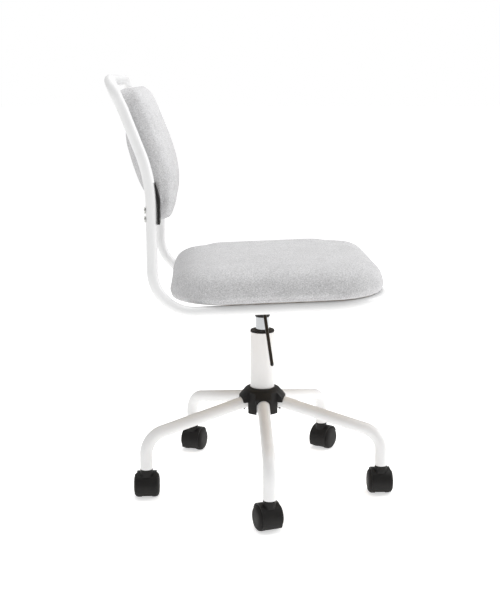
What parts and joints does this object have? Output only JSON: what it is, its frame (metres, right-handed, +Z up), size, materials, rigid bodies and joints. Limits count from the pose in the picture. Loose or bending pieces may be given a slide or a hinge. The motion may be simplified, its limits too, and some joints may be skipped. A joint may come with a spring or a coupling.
{
  "type": "swivel desk chair",
  "caption": "Swivel desk chair: padded seat and backrest on a bent tube frame, over a gas lift with a hand lever and a star base on twin-wheel casters.",
  "frame": {"origin": "on the floor under the middle of the column, with the seat at its lowest", "axes": "+X towards the front of the seat, +Y to the sitter's left, +Z up"},
  "size_m": [0.5552, 0.5164, 0.8381],
  "materials": {
    "powder_white": "satin",
    "moulded_black": "satin",
    "coated_black": "satin",
    "bright_chrome": "polished",
    "plain_steel": "satin",
    "cloth_grey": "matte",
    "board_wood": "matte",
    "rubber_black": "matte"
  },
  "bodies": {
    "base": {"hub": "powder_white", "hub_cover": "moulded_black", "leg_1": "powder_white", "leg_2": "powder_white", "leg_3": "powder_white", "leg_4": "powder_white", "leg_5": "powder_white", "leg_sockets": "moulded_black", "caster_stems": "plain_steel", "outer_column": "powder_white", "guide_bush": "moulded_black", "bearing_lower_race": "plain_steel", "bearing_balls": "bright_chrome"},
    "lift_rod": {"bearing_upper_race": "plain_steel", "piston_rod": "bright_chrome", "piston": "moulded_black", "rod_clip": "plain_steel", "rod_buffer": "rubber_black"},
    "seat": {"gas_cylinder": "bright_chrome", "rod_guide": "moulded_black", "taper_socket": "coated_black", "mechanism_pan": "coated_black", "mechanism_bolts": "plain_steel", "lever_pin": "plain_steel", "frame_tube": "powder_white", "cross_rail_front": "powder_white", "cross_rail_rear": "powder_white", "seat_board": "board_wood", "seat_screws": "plain_steel", "seat_cushion": "cloth_grey", "back_board": "moulded_black", "back_screws": "plain_steel", "back_cushion": "cloth_grey", "back_rear_pad": "cloth_grey"},
    "lever": {"lever": "coated_black"},
    "valve_pin": {"valve_pin": "plain_steel"},
    "caster_1": {"caster_hood_1": "moulded_black", "caster_axle_1": "plain_steel"},
    "wheel_right_1": {"wheel_right_1": "moulded_black"},
    "wheel_left_1": {"wheel_left_1": "moulded_black"},
    "caster_2": {"caster_hood_2": "moulded_black", "caster_axle_2": "plain_steel"},
    "wheel_right_2": {"wheel_right_2": "moulded_black"},
    "wheel_left_2": {"wheel_left_2": "moulded_black"},
    "caster_3": {"caster_hood_3": "moulded_black", "caster_axle_3": "plain_steel"},
    "wheel_right_3": {"wheel_right_3": "moulded_black"},
    "wheel_left_3": {"wheel_left_3": "moulded_black"},
    "caster_4": {"caster_hood_4": "moulded_black", "caster_axle_4": "plain_steel"},
    "wheel_right_4": {"wheel_right_4": "moulded_black"},
    "wheel_left_4": {"wheel_left_4": "moulded_black"},
    "caster_5": {"caster_hood_5": "moulded_black", "caster_axle_5": "plain_steel"},
    "wheel_right_5": {"wheel_right_5": "moulded_black"},
    "wheel_left_5": {"wheel_left_5": "moulded_black"}
  },
  "joints": [
    {"name": "seat_swivel", "type": "hinge", "parent": "base", "child": "lift_rod", "pos_m": [0, 0, 0.165], "axis": [0, 0, 1], "continuous": true},
    {"name": "seat_height", "type": "slide", "parent": "lift_rod", "child": "seat", "axis": [0, 0, 1], "range_m": [0, 0.12]},
    {"name": "lever_lift", "type": "hinge", "parent": "seat", "child": "lever", "pos_m": [-0.004, -0.048, 0.411], "axis": [-1, 0, 0], "range_deg": [0, 5], "stiffness_Nm_per_rad": 20, "springref_deg": -1.72},
    {"name": "valve_press", "type": "slide", "parent": "seat", "child": "valve_pin", "axis": [0, 0, -1], "range_m": [0, 0.0045]},
    {"name": "caster_1_swivel", "type": "hinge", "parent": "base", "child": "caster_1", "pos_m": [-0.23776, -0.07725, 0.0576], "axis": [0, 0, 1], "continuous": true},
    {"name": "wheel_right_1_spin", "type": "hinge", "parent": "caster_1", "child": "wheel_right_1", "pos_m": [-0.23776, -0.06825, 0.025], "axis": [-1, 0, 0], "continuous": true},
    {"name": "wheel_left_1_spin", "type": "hinge", "parent": "caster_1", "child": "wheel_left_1", "pos_m": [-0.23776, -0.06825, 0.025], "axis": [-1, 0, 0], "continuous": true},
    {"name": "caster_2_swivel", "type": "hinge", "parent": "base", "child": "caster_2", "pos_m": [0, -0.25, 0.0576], "axis": [0, 0, 1], "continuous": true},
    {"name": "wheel_right_2_spin", "type": "hinge", "parent": "caster_2", "child": "wheel_right_2", "pos_m": [-0.00278, -0.24144, 0.025], "axis": [-0.9511, -0.309, 0], "continuous": true},
    {"name": "wheel_left_2_spin", "type": "hinge", "parent": "caster_2", "child": "wheel_left_2", "pos_m": [-0.00278, -0.24144, 0.025], "axis": [-0.9511, -0.309, 0], "continuous": true},
    {"name": "caster_3_swivel", "type": "hinge", "parent": "base", "child": "caster_3", "pos_m": [0.23776, -0.07725, 0.0576], "axis": [0, 0, 1], "continuous": true},
    {"name": "wheel_right_3_spin", "type": "hinge", "parent": "caster_3", "child": "wheel_right_3", "pos_m": [0.23776, -0.06825, 0.025], "axis": [-1, 0, 0], "continuous": true},
    {"name": "wheel_left_3_spin", "type": "hinge", "parent": "caster_3", "child": "wheel_left_3", "pos_m": [0.23776, -0.06825, 0.025], "axis": [-1, 0, 0], "continuous": true},
    {"name": "caster_4_swivel", "type": "hinge", "parent": "base", "child": "caster_4", "pos_m": [0.14695, 0.20225, 0.0576], "axis": [0, 0, 1], "continuous": true},
    {"name": "wheel_right_4_spin", "type": "hinge", "parent": "caster_4", "child": "wheel_right_4", "pos_m": [0.15236, 0.20944, 0.025], "axis": [-0.7986, 0.6018, 0], "continuous": true},
    {"name": "wheel_left_4_spin", "type": "hinge", "parent": "caster_4", "child": "wheel_left_4", "pos_m": [0.15236, 0.20944, 0.025], "axis": [-0.7986, 0.6018, 0], "continuous": true},
    {"name": "caster_5_swivel", "type": "hinge", "parent": "base", "child": "caster_5", "pos_m": [-0.14695, 0.20225, 0.0576], "axis": [0, 0, 1], "continuous": true},
    {"name": "wheel_right_5_spin", "type": "hinge", "parent": "caster_5", "child": "wheel_right_5", "pos_m": [-0.14343, 0.21054, 0.025], "axis": [-0.9205, 0.3907, 0], "continuous": true},
    {"name": "wheel_left_5_spin", "type": "hinge", "parent": "caster_5", "child": "wheel_left_5", "pos_m": [-0.14343, 0.21054, 0.025], "axis": [-0.9205, 0.3907, 0], "continuous": true}
  ],
  "couplings": [
    {"joint": "valve_press", "follows": "lever_lift", "m_per_rad": 0.048}
  ]
}
